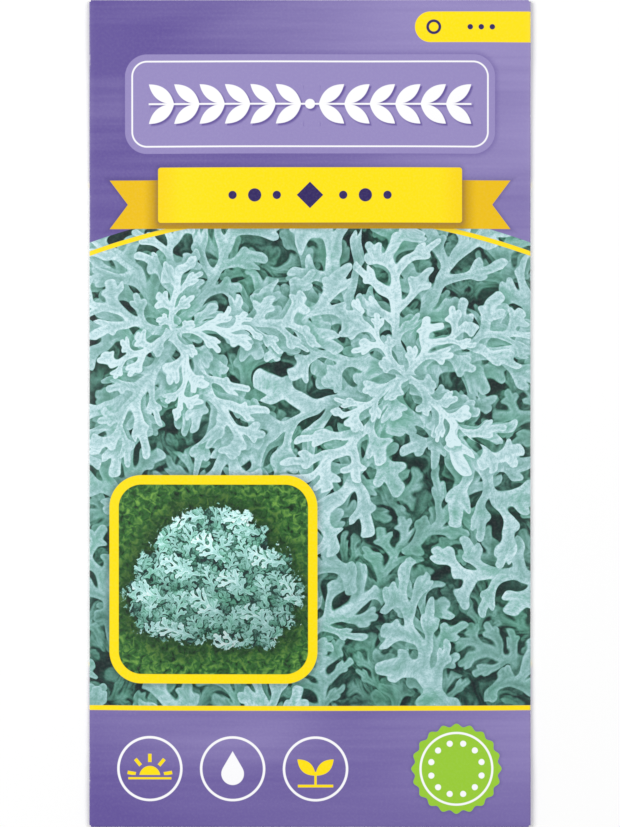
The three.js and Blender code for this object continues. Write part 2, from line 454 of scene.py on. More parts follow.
def leaf_shape(across, along, luck, more_luck, length, pairs, stout):
    """Distance to a leaf's outline and the leaf's own light. Its foot is at 0 and it grows along."""
    spacing = length * FINGERED / pairs
    radius = spacing * stout * SLENDER
    bend = (luck - 0.5) * BENDING / length
    across = (along * along).times_plus(bend, across)
    side = across.maths("SIGN")
    out = abs(across)

    # The finger whose slot this place lies in. One side's fingers stand half a step above the other's.
    slant = 1 / math.tan(FINGER_ANGLE)
    stagger = side * spacing * 0.25
    number = ((out.times_plus(-slant, along) + stagger) / spacing).maths("FLOOR")
    root = number.times_plus(spacing, spacing * 0.5) - stagger
    finger_key = number.times_plus(7.3, side.times_plus(3.1, more_luck * 97.0))
    finger_luck = finger_key.node("TexWhiteNoise", {"noise_dimensions": "1D"}, {"W": finger_key})
    share = root / length
    size = (share * (1.1 - share) * finger_luck.times_plus(0.5, 0.85) * length).at_least(0.0)
    bare = size.rise(0.0, radius, radius * 3, 0.0) + share.maths("GREATER_THAN", 0.95) * radius * 3

    up = along - root
    finger_along = out.times_plus(math.sin(FINGER_ANGLE), up * math.cos(FINGER_ANGLE))
    finger_across = up.times_plus(math.sin(FINGER_ANGLE), out * -math.cos(FINGER_ANGLE))
    main = rod(finger_along, finger_across, size, radius * 0.95)
    fork_side = abs(finger_across)
    past_fork = size.times_plus(-FORK_START, finger_along)
    fork_along = past_fork.times_plus(math.cos(FORK_ANGLE), fork_side * math.sin(FORK_ANGLE))
    fork_across = fork_side.times_plus(math.cos(FORK_ANGLE), past_fork * -math.sin(FORK_ANGLE))
    skew = finger_across.maths("SIGN") * (finger_luck - 0.5)
    fork_size = (size * FORK_SHARE).at_most(spacing * 0.38) * skew.times_plus(0.9, 1.0)
    fork = rod(fork_along, fork_across, fork_size, radius * 0.88)
    edge = main.maths("SMOOTH_MIN", fork, radius * 0.9) + bare
    edge = edge.maths("SMOOTH_MAX", fork_side - spacing * 0.4, radius * 0.8)
    rib = rod(along, out, length * 0.97, 0.0) - radius * along.rise(0.0, length, 1.0, 0.85)
    edge = edge.maths("SMOOTH_MIN", rib, radius * 1.4)

    light = finger_luck.times_plus(0.14, edge.rise(-radius, 0.0, -0.14, 0.05))
    light = light + out.rise(0.0, radius * 1.3, 0.08, 0.0)
    return edge, light + more_luck.times_plus(0.12, along.rise(0.0, length * 0.7, -0.2, 0.0))


leaf_tree = bpy.data.node_groups.new("feathered leaf", "ShaderNodeTree")
leaf_measures = ("Across", "Along", "Luck", "More luck", "Length", "Pairs", "Stout")
for way, names in (("INPUT", leaf_measures), ("OUTPUT", ("Edge", "Light"))):
    for name in names:
        leaf_tree.interface.new_socket(name, in_out=way, socket_type="NodeSocketFloat")
leaf_ends = [leaf_tree.nodes.new("NodeGroup" + way) for way in ("Input", "Output")]
leaf_made = leaf_shape(*(Wire(leaf_ends[0].outputs[name]) for name in leaf_measures))
for wire, socket in zip(leaf_made, leaf_ends[1].inputs):
    leaf_tree.links.new(wire.socket, socket)


def leaf(place, chance, length, pairs=4, stout=1.0):
    """Distance to a leaf's outline and the leaf's own light, from its coordinates and chance numbers."""
    sockets = dict(enumerate((*place.parts(), *chance.parts(), length, pairs, stout)))
    shape = place.node("Group", {"node_tree": leaf_tree}, sockets)
    return shape, Wire(shape.socket.node.outputs["Light"])


def strewn(place, number, cell, turn, heading, spread, length):
    """Leaves strewn one to a cell of a turned lattice: coordinates, chance numbers and the cell's limit."""
    sides = (*cell, 1)
    lattice = {"Vector": place, "Rotation": (0, 0, turn), "Scale": sides}
    grid = place.node("Mapping", {"vector_type": "TEXTURE"}, lattice)
    home = grid.vector("FLOOR")
    chance = home.node("TexWhiteNoise", {"noise_dimensions": "4D"}, {"Vector": home, "W": number}, out=1)
    third = chance.parts(3)[2]
    half_wide, half_high = cell[0] / 2, cell[1] / 2
    local = grid.vector("FRACTION").vector("MULTIPLY_ADD", sides, (-half_wide, -half_high, 0))
    room = local.vector("ABSOLUTE").vector("SUBTRACT", (half_wide - CELL_RIM, half_high - CELL_RIM, 0))
    across, along = room.parts()
    local = local.turned(third.times_plus(spread, heading - spread / 2)).vector("ADD", (0, length / 2, 0))
    return local, chance, across.at_least(along)


def whorled(place, number, centre, leaves, turn, jitter, foot):
    """Leaves set round a centre, as a plant's are: a leaf's own coordinates and its chance numbers."""
    spokes = {"Vector": place, "Location": (*centre, 0), "Rotation": (0, 0, turn)}
    arm = place.node("Mapping", {"vector_type": "TEXTURE"}, spokes)
    across, along = arm.parts()
    sector = (across.maths("ARCTAN2", along) * (leaves / math.tau)).maths("FLOOR")
    chance = sector.node("TexWhiteNoise", {"noise_dimensions": "1D"}, {"W": sector + number}, out=1)
    third = chance.parts(3)[2]
    angle = sector.times_plus(math.tau / leaves, third.times_plus(jitter, math.pi / leaves - jitter / 2))
    return arm.turned(angle).vector("ADD", (0, -foot, 0)), chance


def relief(place):
    """Light and shade of gently waving leaf faces, lit from one side, in three unlike patterns."""
    waves = {"Scale": 0.2, "Detail": 2.0, "Roughness": 0.4}
    here = place.node("TexNoise", {}, {"Vector": place, **waves}, out=1)
    lit = place.vector("ADD", (0.9, -1.3, 0))
    return here.vector("SUBTRACT", lit.node("TexNoise", {}, {"Vector": lit, **waves}, out=1)).parts(3)


def laid(tone, edge, light, soft, shadow=0.7):
    """One layer of leaves over the picture so far, with its shadow on what lies below it."""
    return (tone * edge.rise(1.6, 0.0, 1.0, shadow)).blended(light, edge.rise(soft, -soft))


def foliage(place):
    """How light the foliage picture is at each place, from 0 in its gaps to 1."""
    drift = place.node("TexNoise", {}, {"Vector": place, "Scale": 0.11, "Detail": 1.5}, out=1)
    place = drift.vector("MULTIPLY_ADD", (6.0, 6.0, 0), place).vector("ADD", (-3.0, -3.0, 0))
    patch = place.node("TexNoise", {}, {"Vector": place, "Scale": 0.05, "Detail": 2.0})
    waves = relief(place)
    depths = place.node("TexNoise", {}, {"Vector": place, "Scale": 0.2, "Detail": 2.0, "Distortion": 1.2})
    tone = depths.rise(0.35, 0.7, 0.0, 0.3)

    # Five beds, the darkest first: a bed's number, its cells' sides and turn, the way its leaves head and
    # how much they stray, their length, stoutness and lightness, how soft their edge is, and their shadow.
    beds = [
        (1, (10, 11.5), 0.5, 0.2, 5.0, 12, 1.45, 0.27, 0.4, 0.6),
        (2, (12.5, 15), -0.45, 0.1, 2.4, 15.5, 1.25, 0.37, 0.28, 0.6),
        (3, (16, 19.5), 0.2, -0.3, 1.8, 18.5, 1.2, 0.46, 0.2, 0.6),
        (4, (20, 24.5), -0.2, 0.3, 1.3, 23, 1.15, 0.57, 0.14, 0.65),
        (5, (27, 31), 0.65, -0.5, 1.0, 28, 1.1, 0.68, 0.1, 0.7),
    ]
    for number, cell, turn, heading, spread, length, stout, base, soft, shadow in beds:
        local, chance, limit = strewn(place, number, cell, turn, heading, spread, length)
        edge, light = leaf(local, chance, length, 4, stout)
        light = waves[number % 3].times_plus(WAVING, light + base)
        tone = laid(tone, edge.maths("SMOOTH_MAX", limit, 1.2), light, soft, shadow)

    # Two plants of three whorls each: a whorl's number, centre, count of leaves, turn and unevenness, how
    # far off its leaves start, their length and pairs of fingers, and their lightness.
    plants = [
        (21, (17, 7), 6, 0.3, 0.25, 1.0, 33, 4, 0.72),
        (22, (17, 7), 5, 0.85, 0.3, 0.5, 25, 4, 0.82),
        (23, (17, 7), 4, 0.1, 0.4, -1.0, 15, 3, 0.92),
        (31, (-24, 14), 6, 0.0, 0.25, 1.0, 30, 4, 0.7),
        (32, (-24, 14), 5, 0.55, 0.3, 0.5, 23, 4, 0.8),
        (33, (-24, 14), 4, 0.9, 0.4, -1.0, 14, 3, 0.9),
    ]
    for number, centre, leaves, turn, jitter, foot, length, pairs, base in plants:
        edge, light = leaf(*whorled(place, number, centre, leaves, turn, jitter, foot), length, pairs)
        tone = laid(tone, edge, waves[number % 3].times_plus(WAVING, light + base), 0.1, 0.75)

    # Felt, a fine grain on all leaves.
    felt = place.node("TexNoise", {}, {"Vector": place, "Scale": 1.9, "Detail": 3.0, "Roughness": 0.8})
    return tone * felt.times_plus(1.1, patch.times_plus(0.3, 0.25))


def foliage_colour(place):
    """The leaves' colours from dark to light, and a greener tint in patches, off the bright tones."""
    tone = foliage(place)
    stops = [
        (0.0, ink(20, 36, 38)),
        (0.1, ink(34, 68, 61)),
        (0.25, ink(80, 128, 116)),
        (0.45, ink(117, 165, 158)),
        (0.65, ink(150, 191, 192)),
        (0.85, ink(186, 218, 223)),
        (1.0, ink(214, 238, 243)),
    ]
    colour = tone.node("ValToRGB", {"stops": stops}, {0: tone})
    drift = place.node("TexNoise", {}, {"Vector": place, "Scale": 0.1, "Detail": 3.0, "Roughness": 0.6})
    return colour.tinted((0.8, 0.98, 0.86, 1), drift.rise(0.42, 0.66) * tone.rise(0.85, 0.5))


# Printed shapes. Each is a distance to its outline in millimetres, negative inside, which is then filled
# with an ink or drawn as a line.
def box_edge(place, centre, size, corner):
    """A box with round corners. Deep inside, its distance stays at minus the corner's radius."""
    off = place.vector("SUBTRACT", (*centre, 0)).vector("ABSOLUTE")
    past = off.vector("SUBTRACT", (size[0] / 2 - corner, size[1] / 2 - corner, 0))
    return past.vector("MAXIMUM", (0, 0, 0)).vector("LENGTH", out=1) - corner


def disc_edge(place, centre, radius):
    """A disc."""
    return place.vector("DISTANCE", (*centre, 0), out=1) - radius


def filled(edge, soft=0.07):
    """1 inside an outline, and 0 outside."""
    return edge.rise(soft, -soft)


def line(edge, width):
    """1 on a line drawn along an outline."""
    return filled(abs(edge) - width / 2)


SLANT = (0, 0, -0.3)  # the way of the brush


def violet_wash(place):
    """The violet ground of the head and the foot: broad brushed strokes, deeper at the left."""
    strokes = place.node("Mapping", {}, {"Vector": place, "Rotation": SLANT, "Scale": (0.012, 0.05, 1)})
    streaked = {"Vector": strokes, "Scale": 1.0, "Detail": 2.0, "Distortion": 0.6}
    strokes = strokes.node("TexNoise", {}, streaked)
    bristles = place.node("Mapping", {}, {"Vector": place, "Rotation": SLANT, "Scale": (0.03, 0.7, 1)})
    bristles = bristles.node("TexNoise", {}, {"Vector": bristles, "Scale": 1.0, "Detail": 3.0})
    depth = strokes.times_plus(0.9, bristles.times_plus(0.25, place.parts()[0] * 0.005 - 0.14))
    stops = [(0.2, DEEP_VIOLET), (0.45, VIOLET), (0.75, PALE_VIOLET)]
    return depth.node("ValToRGB", {"stops": stops}, {0: depth})


GARLAND_GAP = 1.6  # from its middle to the first leaves
GARLAND_STEP = 4.6
GARLAND_LEAF = (5.8, 2.3)  # length and width
GARLAND_LEAN = math.radians(38)
GARLAND_BEAD = 0.9
STEM = 0.16  # half its width


def almond(along, across, length, width):
    """A plain pointed leaf that lies from 0 to length."""
    middle = (along - length / 2) / (length / 2)
    return abs(across) - (1 - middle * middle) * (width / 2)


def garland(place, centre, pairs):
    """A straight garland of plain leaves in pairs, growing out from its middle to both sides."""
    across, along = place.vector("SUBTRACT", (*centre, 0)).parts()
    out, up = abs(across) - GARLAND_GAP, abs(along)
    number = (out / GARLAND_STEP).maths("FLOOR")
    step = number.times_plus(-GARLAND_STEP, out)
    leaf_along = step.times_plus(math.cos(GARLAND_LEAN), up * math.sin(GARLAND_LEAN))
    leaf_across = up.times_plus(math.cos(GARLAND_LEAN), step * -math.sin(GARLAND_LEAN))
    leaves = almond(leaf_along, leaf_across, *GARLAND_LEAF)
    leaves = leaves.at_least(out - GARLAND_STEP * pairs).at_least(-out)
    stem = (up - STEM).at_least(out - GARLAND_STEP * pairs)
    return leaves.at_most(stem).at_most(disc_edge(place, centre, GARLAND_BEAD))


RIBBON_MIDDLE = (0, 39.5)
RIBBON_SIZE = (55, 10)
RIBBON_CORNER = 0.5
TAIL_DROP = 1.7
TAIL_HALF_HEIGHT = 4.4
TAIL_REACH = 33.0
UNDERSIDE = ink(168, 126, 0)
LOZENGE = 2.4  # half its width
BEADS_OUT = 10  # the large beads, from the ribbon's middle
BEAD_STEP = 4  # the small beads, on either side of each large one


def ribbon_body(place):
    """The ribbon's middle part, in front of its tails."""
    return box_edge(place, RIBBON_MIDDLE, RIBBON_SIZE, RIBBON_CORNER)


def ribbon_tails(place):
    """The ribbon's two tails, which hang a little lower and are cut to a notch."""
    across, along = place.vector("SUBTRACT", (*RIBBON_MIDDLE, 0)).parts()
    low = abs(along + TAIL_DROP)
    return (low - TAIL_HALF_HEIGHT).at_least((abs(across) - TAIL_REACH) - low * 0.75)


def ribbon(place, colour):
    """A yellow ribbon with its two tails folded behind it, a lozenge in its middle and beads beside it."""
    across, along = place.vector("SUBTRACT", (*RIBBON_MIDDLE, 0)).parts()
    out = abs(across)
    fold = RIBBON_SIZE[0] / 2
    tails, body = ribbon_tails(place), ribbon_body(place)
    colour = colour.painted(NIGHT, tails.rise(1.1, -0.4) * 0.35)
    colour = colour.painted(AMBER, filled(tails))
    colour = colour.painted(UNDERSIDE, filled(tails) * out.rise(fold + 3, fold - 0.5) * 0.8)
    colour = colour.painted(NIGHT, body.rise(1.1, -0.4) * 0.35)
    colour = colour.painted(YELLOW, filled(body))
    colour = colour.painted(AMBER, filled(body) * out.rise(fold - 5, fold) * 0.35)
    lozenge = (out + abs(along)) - LOZENGE
    large_beads = reach(out - BEADS_OUT, along) - 1.2
    small_beads = reach(abs(out - BEADS_OUT) - BEAD_STEP, along) - 0.75
    return colour.painted(NIGHT, filled(lozenge.at_most(large_beads).at_most(small_beads)))


SIGN_RING = 5.7
SUN_RAYS = 9  # all round, of which those above the level line show
SUN_RADIUS = 1.9
DROP_RADIUS = 2.05
SPROUT_LEAF = (4.4, 2.0)
SPROUT_LEAN = math.radians(42)


def half_sun(place, centre):
    """A sun half risen over a level line."""
    across, along = place.vector("SUBTRACT", (centre[0], centre[1] - 1.4, 0)).parts()
    far = reach(across, along)
    rays = across.maths("ARCTAN2", along) * (SUN_RAYS / math.tau)
    ray = abs((rays + 0.5).maths("FRACT") - 0.5) * far * (math.tau / SUN_RAYS) - 0.32
    ray = ray.at_least(abs(far - 3.35) - 0.75)
    sun = (far - SUN_RADIUS).at_most(ray).at_least(0.25 - along)
    return sun.at_most((abs(along + 0.35) - 0.2).at_least(abs(across) - 3.9))


def drop(place, centre):
    """A drop of water: a disc with a cone on it."""
    across, along = place.vector("SUBTRACT", (centre[0], centre[1] - 0.9, 0)).parts()
    cone = abs(across).times_plus(0.86, along * 0.5) - DROP_RADIUS
    cone = cone.at_least(1.0 - along)
    return (reach(across, along) - DROP_RADIUS).at_most(cone)


def sprout(place, centre):
    """A seedling with two leaves on a line of soil."""
    across, along = place.vector("SUBTRACT", (centre[0], centre[1] - 2.6, 0)).parts()
    out = abs(across)
    up = along - 1.4
    leaf_along = out.times_plus(math.cos(SPROUT_LEAN), up * math.sin(SPROUT_LEAN))
    leaf_across = up.times_plus(math.cos(SPROUT_LEAN), out * -math.sin(SPROUT_LEAN))
    leaves = almond(leaf_along, leaf_across, *SPROUT_LEAF)
    stem = (out - 0.22).at_least(abs(along - 0.9) - 1.2)
    soil = (abs(along + 0.5) - 0.25).at_least(out - 3.2)
    return leaves.at_most(stem).at_most(soil)


def sign_row(place, colour, row, ring_ink, tints):
    """Three ringed signs in a row: sun, water, and a seedling in its soil."""
    for middle, sign, tint in zip(row, (half_sun, drop, sprout), tints):
        colour = colour.painted(ring_ink, line(disc_edge(place, middle, SIGN_RING), 0.45))
        colour = colour.painted(tint, filled(sign(place, middle)))
    return colour


SEAL_RADIUS = 7.9
SEAL_SCALLOPS = 20
SEAL_RING = 6.5
SEAL_DOTS = 12
DOTS_OUT = 4.7


def seal(place, centre, colour):
    """A plain lime seal with a scalloped rim, a white ring and a ring of dots."""
    across, along = place.vector("SUBTRACT", (*centre, 0)).parts()
    far = reach(across, along)
    around = across.maths("ARCTAN2", along)
    scallops = (around * SEAL_SCALLOPS).maths("COSINE")
    rim = scallops.times_plus(-0.28, far - SEAL_RADIUS)
    colour = colour.painted(NIGHT, rim.rise(0.9, -0.4) * 0.3)
    colour = colour.painted(LIME, filled(rim))
    colour = colour.painted(PURE, line(far - SEAL_RING, 0.4))
    spoke = (around * (SEAL_DOTS / math.tau)).maths("FRACT") - 0.5
    dots = reach(spoke * (DOTS_OUT * math.tau / SEAL_DOTS), far - DOTS_OUT) - 0.55
    return colour.painted(PURE, filled(dots))


# The small window printed on the front. It shows the same plant from further off, as a low bush on a green
# bed, so its leaves are the big picture's pattern, made smaller and taken from another place in it.
WINDOW = (-17.5, -30)
WINDOW_SIDE = 36
WINDOW_CORNER = 5
WINDOW_LINE = 1.7
FURTHER_OFF = 4
OTHER_PLACE = (-43.0, -20.0)
SUNLIT = (1.5, 1.5, 1.45, 1)
# Three discs that flow into one another: where each lies from the window's middle, and its radius.
BUSH_LOBES = (((-7.5, -3.0), 8.0), ((7.0, -3.5), 8.5), ((0.0, 1.0), 12.0))


def far_bush(place, colour, near):
    """Paints the green bed round the bush, where near is 1, and gives the bush its rounded light."""
    middle = place.vector("SUBTRACT", (*WINDOW, 0))
    bed = place.node("TexNoise", {}, {"Vector": place, "Scale": 0.9, "Detail": 5.0, "Distortion": 0.8})
    lumps = place.node("TexNoise", {}, {"Vector": place, "Scale": 0.35, "Detail": 1.0})
    edge = disc_edge(middle, *BUSH_LOBES[0])
    for lobe in BUSH_LOBES[1:]:
        edge = edge.maths("SMOOTH_MIN", disc_edge(middle, *lobe), 5.0)
    edge = edge + bed.times_plus(-7.0, 3.5) + lumps.times_plus(-5.0, 2.5)
    across, along = middle.parts()
    shade = across.times_plus(-0.3, along).rise(9.0, -15.0, 0.0, 0.35)
    colour = colour.tinted(SUNLIT, near).painted(SHADOW, near * shade)
    stops = [(0.3, ink(18, 44, 26)), (0.5, ink(50, 104, 48)), (0.72, ink(122, 172, 76))]
    ground = bed.node("ValToRGB", {"stops": stops}, {0: bed})
    ground = ground.painted(SHADOW, edge.rise(4.5, 0.0, 0.0, 0.6))
    return colour.painted(ground, near * filled(-edge, 0.25))


def front_ground(place):
    """The picture of leaves with its small window: all that lies between the head and the foot."""
    window = box_edge(place, WINDOW, (WINDOW_SIDE, WINDOW_SIDE), WINDOW_CORNER)
    near = filled(window, 0.05)
    shift = tuple((1 - FURTHER_OFF) * side + step for side, step in zip(WINDOW, OTHER_PLACE)) + (0,)
    far_off = place.vector("MULTIPLY_ADD", (FURTHER_OFF, FURTHER_OFF, 0), shift)
    view = place.node("Mix", {"data_type": "VECTOR"}, {0: near, 4: place, 5: far_off}, out=1)
    colour = far_bush(place, foliage_colour(view), near)
    cast = window.rise(2.2, 0.6) * (1 - near)
    ribbon_shade = (RIBBON_SIZE[0] + 1, RIBBON_SIZE[1] + 1)
    cast = cast.at_least(box_edge(place, RIBBON_MIDDLE, ribbon_shade, 0.8).rise(1.4, -0.4))
    colour = colour.painted(SHADOW, cast * 0.45)
    return colour.painted(YELLOW, line(window, WINDOW_LINE))


# The head and the foot of the front. They are printed over the picture of leaves: a violet head with an
# arched lower edge, a pale plate, the ribbon and a tab, and a violet foot with three signs and the seal.
CREST = 38.0  # the arch's height at its middle
ARCHING = -0.0044  # times the square of the way from the middle
CREST_LINE = 2.0  # the yellow line follows the arch at this distance
PLATE = (0, 56)
PLATE_SIZE = (67, 18)
PLATE_CORNER = 4
GARLAND_SHADE = (PLATE[0] + 0.35, PLATE[1] - 0.35)
GARLAND_PAIRS = 6
TAB = (34, 70)
TAB_SIZE = (30, 5.6)
TAB_RING = (22.4, 70)
TAB_BEAD = (31, 70)
FOOT_TOP = -53.5
ABOVE_FOOT = 0.2  # the middle of the foot's yellow line
SIGNS_HEIGHT = -64.3
FRONT_SIGNS = ((-29, SIGNS_HEIGHT), (-14, SIGNS_HEIGHT), (1, SIGNS_HEIGHT))
SEAL = (26.5, SIGNS_HEIGHT)
FRAME_LINE = 0.9


def crest(across, along):
    """Distance to the arched lower edge of the violet head: negative above it."""
    return across.times_plus(across * ARCHING, CREST) - along


def front_furniture(place):
    """The head with its plate and ribbon, and the foot with its signs and seal."""
    across, along = place.parts()
    wash = violet_wash(place)
    head = crest(across, along)
    colour = wash.painted(YELLOW, line(head - CREST_LINE, FRAME_LINE))
    plate = box_edge(place, PLATE, PLATE_SIZE, PLATE_CORNER)
    colour = colour.painted(DEEP_VIOLET, plate.rise(1.2, -0.5) * 0.6)
    colour = colour.painted(PALE_VIOLET, filled(plate))
    colour = colour.painted(PURE, line(plate + 1.3, 0.3))
    colour = colour.painted(DEEP_VIOLET, filled(garland(place, GARLAND_SHADE, GARLAND_PAIRS), 0.3))
    colour = colour.painted(PURE, filled(garland(place, PLATE, GARLAND_PAIRS)))
    colour = ribbon(place, colour)
    tab = box_edge(place, TAB, TAB_SIZE, TAB_SIZE[1] / 2)
    colour = colour.painted(YELLOW, filled(tab))
    colour = colour.painted(NIGHT, line(disc_edge(place, TAB_RING, 1.1), 0.5))
    beads = reach(abs(across - TAB_BEAD[0]) - 2.0, along - TAB_BEAD[1]) - 0.5
    colour = colour.painted(NIGHT, filled(beads.at_most(disc_edge(place, TAB_BEAD, 0.5))))

    foot = along - FOOT_TOP
    deepened = wash.painted(DEEP_VIOLET, along.rise(-55, -78, 0.0, 0.7))
    colour = colour.painted(deepened, filled(foot))
    colour = colour.painted(YELLOW, line(foot - ABOVE_FOOT, FRAME_LINE))
    colour = sign_row(place, colour, FRONT_SIGNS, PURE, (YELLOW, PURE, YELLOW))
    return seal(place, SEAL, colour)


def furniture_cover(place):
    """1 where the head, the ribbon or the foot cover the picture of leaves."""
    across, along = place.parts()
    head = crest(across, along)
    cover = head.at_most(abs(head - CREST_LINE) - FRAME_LINE / 2)
    cover = cover.at_most(along - FOOT_TOP - (ABOVE_FOOT + FRAME_LINE / 2))
    return filled(cover.at_most(ribbon_tails(place)).at_most(ribbon_body(place)))


# The back carries what a packet's back does, all of it bare: ruled rows, a year in twelve columns with
# three bars, and three signs, on a pale ground between violet bands.
BACK_MIDDLE = 80  # on the flat blank, this far left of the front's middle
ROWS_LEFT = -25
ROWS_TOP = 33.0
ROW = 2.7
ROW_COUNT = 11
CALENDAR_CELL = (4.9, 5.0)
CALENDAR_TOP = -6
MONTHS = 12
BARS = ((1, 4, LIME), (4, 6, YELLOW), (6, 10, VIOLET))  # from month, to month, ink
BACK_SIGNS = ((-14, -34), (4.5, -34), (23, -34))
BACK_GARLAND = (4.5, 53)
BACK_PAIRS = 5
BAND_TOP = 42.0
BAND_FOOT = 46.0
LEAF_GREEN = ink(86, 148, 60)
GREY_VIOLET = ink(120, 118, 150)


def ruled_rows(across, along, top, count):
    """Plain rules of uneven length, one to a row, from the top down."""
    down = (top - along) / ROW
    number = down.maths("FLOOR")
    luck = number.node("TexWhiteNoise", {"noise_dimensions": "1D"}, {"W": number})
    rule = abs(number - down + 0.5) * ROW - 0.3
    rule = rule.at_least(across - luck.times_plus(14.0, 20.0)).at_least(ROWS_LEFT - across)
    return rule.at_least(along - top).at_least(top - count * ROW - along)


def calendar(across, along, colour):
    """A ruled table with a column for each month and a row for each bar."""
    wide, high = CALENDAR_CELL
    column, row = (across - ROWS_LEFT) / wide, (CALENDAR_TOP - along) / high
    half_wide, half_high = MONTHS / 2, len(BARS) / 2
    inside = abs(column - half_wide) * wide - half_wide * wide
    inside = inside.at_least(abs(row - half_high) * high - half_high * high)
    upright = abs(column.maths("FRACT") - 0.5) * -wide + wide / 2
    level = abs(row.maths("FRACT") - 0.5) * -high + high / 2
    rules = upright.at_most(level)
    colour = colour.painted(PURE, filled(inside))
    for number, (first, last, tint) in enumerate(BARS):
        length = (last - first) * wide - 2.2
        bar = rod((column - first) * wide - 1.1, (row - number - 0.5) * high, length, 1.2)
        colour = colour.painted(tint, filled(bar))
    return colour.painted(DEEP_VIOLET, filled(rules - 0.12) * filled(inside - 0.12))


def back_picture(place):
    """All of the back panel's print. The side flap and half of each side fold carry it too."""
    here = place.vector("ADD", (BACK_MIDDLE, 0, 0))
    across, along = here.parts()
    grain = place.node("TexNoise", {}, {"Vector": place, "Scale": 0.1, "Detail": 3.0})
    stops = [(0.3, ink(226, 232, 238)), (0.7, ink(240, 243, 246))]
    colour = grain.node("ValToRGB", {"stops": stops}, {0: grain})
    colour = colour.painted(GREY_VIOLET, filled(ruled_rows(across, along, ROWS_TOP, ROW_COUNT)))
    colour = calendar(across, along, colour)
    colour = sign_row(here, colour, BACK_SIGNS, VIOLET, (AMBER, VIOLET, LEAF_GREEN))
    bands = BAND_TOP - along.rise(-1.0, 1.0, BAND_TOP - BAND_FOOT, 0.0) - abs(along)
    colour = colour.painted(violet_wash(place), filled(bands))
    colour = colour.painted(YELLOW, line(bands - 0.6, 0.8))
    return colour.painted(PURE, filled(garland(here, BACK_GARLAND, BACK_PAIRS)))


def flap_picture(place):
    """The end flaps' plain wash."""
    return violet_wash(place).painted(DEEP_VIOLET, 0.35)


# The paper itself. It is coated on the printed side, with a satin gloss, and the coating and the ink are a
# little rubbed off along the folds, in patches, where a packet is handled. Inside it is plain and matt.
FRONT_MIDDLE = (FRONT_LEFT + FRONT_RIGHT) / 2 / MM
FRONT_HALF_WIDTH = (FRONT_RIGHT - FRONT_LEFT) / 2 / MM
FRONT_HALF_LENGTH = (END + ARC / 2) / MM
WHITE_PAPER = ink(246, 245, 241)
COATING_GLOSS = 0.28


def printed_with(picture, furniture=None, cover=None):
    """Coated paper with a picture on it, and furniture over the picture where cover is 1."""

    def look(tree):
        place = Wire.made(tree, "UVMap", {"uv_map": "print"}, {})
        fibres = place.node("TexNoise", {}, {"Vector": place, "Scale": 2.2, "Detail": 4.0})
        across, along = place.vector("ADD", (-FRONT_MIDDLE, 0, 0)).vector("ABSOLUTE").parts()
        to_fold = abs(across - FRONT_HALF_WIDTH).at_most(abs(along - FRONT_HALF_LENGTH))
        handled = place.node("TexNoise", {}, {"Vector": place, "Scale": 0.1, "Detail": 3.0})
        rubbed = to_fold.rise(0.4, 0.0) * fibres.rise(0.5, 0.62, 0.1, 0.5) * handled.rise(0.45, 0.65)
        bare = rubbed.at_least(fibres.rise(0.4, 0.8, 0.0, 0.02))
        bump = fibres.node("Bump", {}, {"Height": fibres, "Strength": 0.08, "Distance": 0.1 * MM})
        roughness = fibres.rise(0.3, 0.7, 0.32, 0.44)

        def coated(colour):
            inked = colour.painted(WHITE_PAPER, bare)
            finish = {"Base Color": inked, "Roughness": roughness, "Normal": bump}
            return place.node("BsdfPrincipled", {}, {**finish, "Specular IOR Level": COATING_GLOSS})

        if cover is None:
            return coated(picture(place))
        layers = {0: cover(place), 1: coated(picture(place)), 2: coated(furniture(place))}
        return place.node("MixShader", {}, layers)

    return look


def plain_paper(tree):
    place = Wire.made(tree, "TexCoord", {}, {}, out=3)
    fibres = place.node("TexNoise", {}, {"Vector": place, "Scale": 3000.0, "Detail": 4.0})
    stops = [(0.3, ink(236, 234, 228)), (0.7, ink(250, 249, 245))]
    colour = fibres.node("ValToRGB", {"stops": stops}, {0: fibres})
    bump = fibres.node("Bump", {}, {"Height": fibres, "Strength": 0.2, "Distance": 0.05 * MM})
    return place.node("BsdfPrincipled", {}, {"Base Color": colour, "Roughness": 0.85, "Normal": bump})


def finish_of(name, look):
    """A material whose shader is what look makes in its empty node tree."""
    material = bpy.data.materials.new(name)
    material.use_nodes = True
    tree = material.node_tree
    tree.nodes.clear()
    end = tree.nodes.new("ShaderNodeOutputMaterial")
    tree.links.new(look(tree).socket, end.inputs["Surface"])
    return material


front_print = printed_with(front_ground, front_furniture, furniture_cover)
bag_mesh.materials.append(finish_of("front print", front_print))
bag_mesh.materials.append(finish_of("back print", printed_with(back_picture)))
bag_mesh.materials.append(finish_of("flap print", printed_with(flap_picture)))
bag_mesh.materials.append(finish_of("paper inside", plain_paper))
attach(bag, "root")
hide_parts("paper_bag")


# The glue is a paste, rolled on in flat strips inside the side flap and the two end flaps, and dried to a
# thin yellowish film as the flaps were pressed down.
def dried_paste(tree):
    place = Wire.made(tree, "TexCoord", {}, {}, out=3)
    streaks = place.node("Mapping", {}, {"Vector": place, "Scale": (90, 400, 400)})
    streaks = streaks.node("TexNoise", {}, {"Vector": streaks, "Scale": 1.0, "Detail": 4.0})
    blots = place.node("TexNoise", {}, {"Vector": place, "Scale": 260.0, "Detail": 3.0})
    film = (streaks + blots) * 0.5
    stops = [(0.35, ink(222, 208, 170)), (0.65, ink(246, 242, 226))]
    colour = film.node("ValToRGB", {"stops": stops}, {0: film})
    bump = film.node("Bump", {}, {"Height": film, "Strength": 0.4, "Distance": 0.04 * MM})
    finish = {"Base Color": colour, "Roughness": blots.rise(0.3, 0.7, 0.35, 0.6), "Normal": bump}
    return place.node("BsdfPrincipled", {}, finish)


paste = finish_of("dried paste", dried_paste)
for node in ("side_flap_glue", "top_flap_glue", "bottom_flap_glue"):
    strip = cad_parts[node]
    strip.data.materials.clear()
    strip.data.materials.append(paste)


